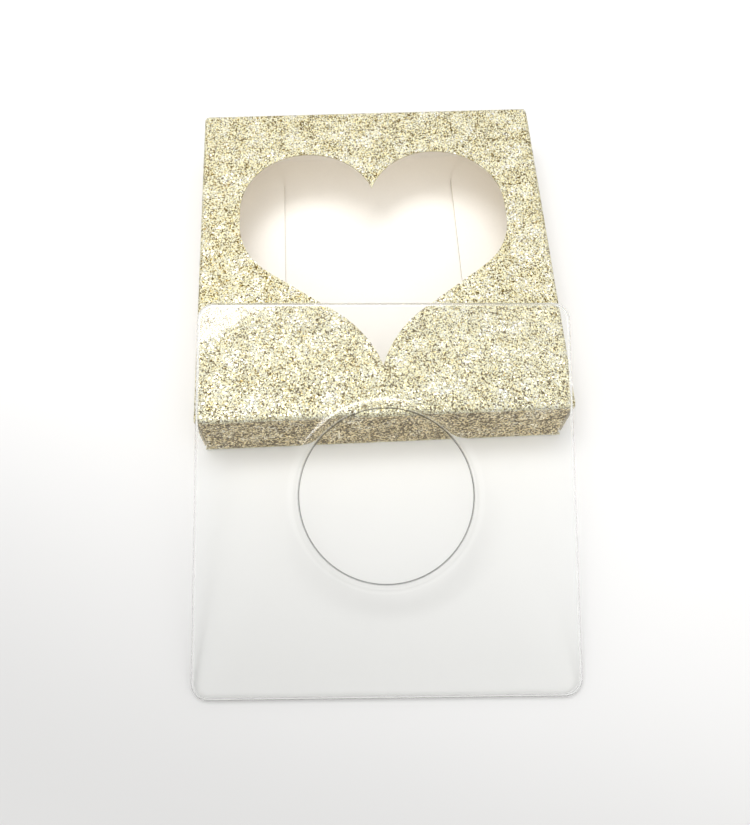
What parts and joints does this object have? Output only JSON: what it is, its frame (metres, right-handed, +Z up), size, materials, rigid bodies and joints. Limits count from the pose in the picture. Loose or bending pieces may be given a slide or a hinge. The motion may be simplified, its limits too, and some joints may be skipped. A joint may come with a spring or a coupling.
{
  "type": "false eyelash case",
  "caption": "Square folding carton of glitter card with a heart-shaped window and tuck ends, and a clear tray with a raised disc that holds a pair of false eyelashes.",
  "frame": {"origin": "middle of the carton's underside, on the surface that it stands on", "axes": "+Z up, +X across the two end closures, +Y from the front wall, where the tray leans, to the back wall"},
  "size_m": [0.0742, 0.1261, 0.023],
  "materials": {
    "glitter_card": "pale gold glitter outside, white inside",
    "white_card": "matt white where it shows, pale gold glitter on its hidden side",
    "clear_plastic": "clear and glossy"
  },
  "bodies": {
    "carton": {"window_panel": "glitter_card", "front_wall": "glitter_card", "back_wall": "glitter_card", "base_panel": "glitter_card", "glue_flap": "white_card"},
    "left_closure": {"left_closure": "glitter_card"},
    "right_closure": {"right_closure": "glitter_card"},
    "left_tuck_tab": {"left_tuck_tab": "white_card"},
    "right_tuck_tab": {"right_tuck_tab": "white_card"},
    "front_left_dust_flap": {"front_left_dust_flap": "white_card"},
    "front_right_dust_flap": {"front_right_dust_flap": "white_card"},
    "back_left_dust_flap": {"back_left_dust_flap": "white_card"},
    "back_right_dust_flap": {"back_right_dust_flap": "white_card"},
    "lash_tray": {"lash_tray": "clear_plastic"}
  },
  "joints": [
    {"name": "left_closure_crease", "type": "hinge", "parent": "carton", "child": "left_closure", "pos_m": [-0.0365, 0, 0.01395], "axis": [0, 1, 0], "range_deg": [0, 170], "deforming": ["left_tuck_tab"]},
    {"name": "right_closure_crease", "type": "hinge", "parent": "carton", "child": "right_closure", "pos_m": [0.0365, 0, 0.01395], "axis": [0, -1, 0], "range_deg": [0, 170], "deforming": ["right_tuck_tab"]},
    {"name": "left_tab_crease", "type": "hinge", "parent": "left_closure", "child": "left_tuck_tab", "pos_m": [-0.0365, 0, 0.00155], "axis": [0, 1, 0], "range_deg": [0, 70]},
    {"name": "right_tab_crease", "type": "hinge", "parent": "right_closure", "child": "right_tuck_tab", "pos_m": [0.0365, 0, 0.00155], "axis": [0, -1, 0], "range_deg": [0, 70]},
    {"name": "front_left_flap_crease", "type": "hinge", "parent": "carton", "child": "front_left_dust_flap", "pos_m": [-0.03565, -0.03645, 0.00775], "axis": [0, 0, -1], "range_deg": [0, 85]},
    {"name": "front_right_flap_crease", "type": "hinge", "parent": "carton", "child": "front_right_dust_flap", "pos_m": [0.03565, -0.03645, 0.00775], "axis": [0, 0, 1], "range_deg": [0, 85]},
    {"name": "back_left_flap_crease", "type": "hinge", "parent": "carton", "child": "back_left_dust_flap", "pos_m": [-0.03565, 0.03645, 0.00775], "axis": [0, 0, 1], "range_deg": [0, 85]},
    {"name": "back_right_flap_crease", "type": "hinge", "parent": "carton", "child": "back_right_dust_flap", "pos_m": [0.03565, 0.03645, 0.00775], "axis": [0, 0, -1], "range_deg": [0, 85]},
    {"name": "tray_lift", "type": "slide", "parent": "carton", "child": "lash_tray", "axis": [0, 0, 1], "range_m": [0, 0.06]}
  ],
  "couplings": [
    {"joint": "left_tab_crease", "follows": "left_closure_crease", "ratio": 0.4},
    {"joint": "right_tab_crease", "follows": "right_closure_crease", "ratio": 0.4}
  ]
}
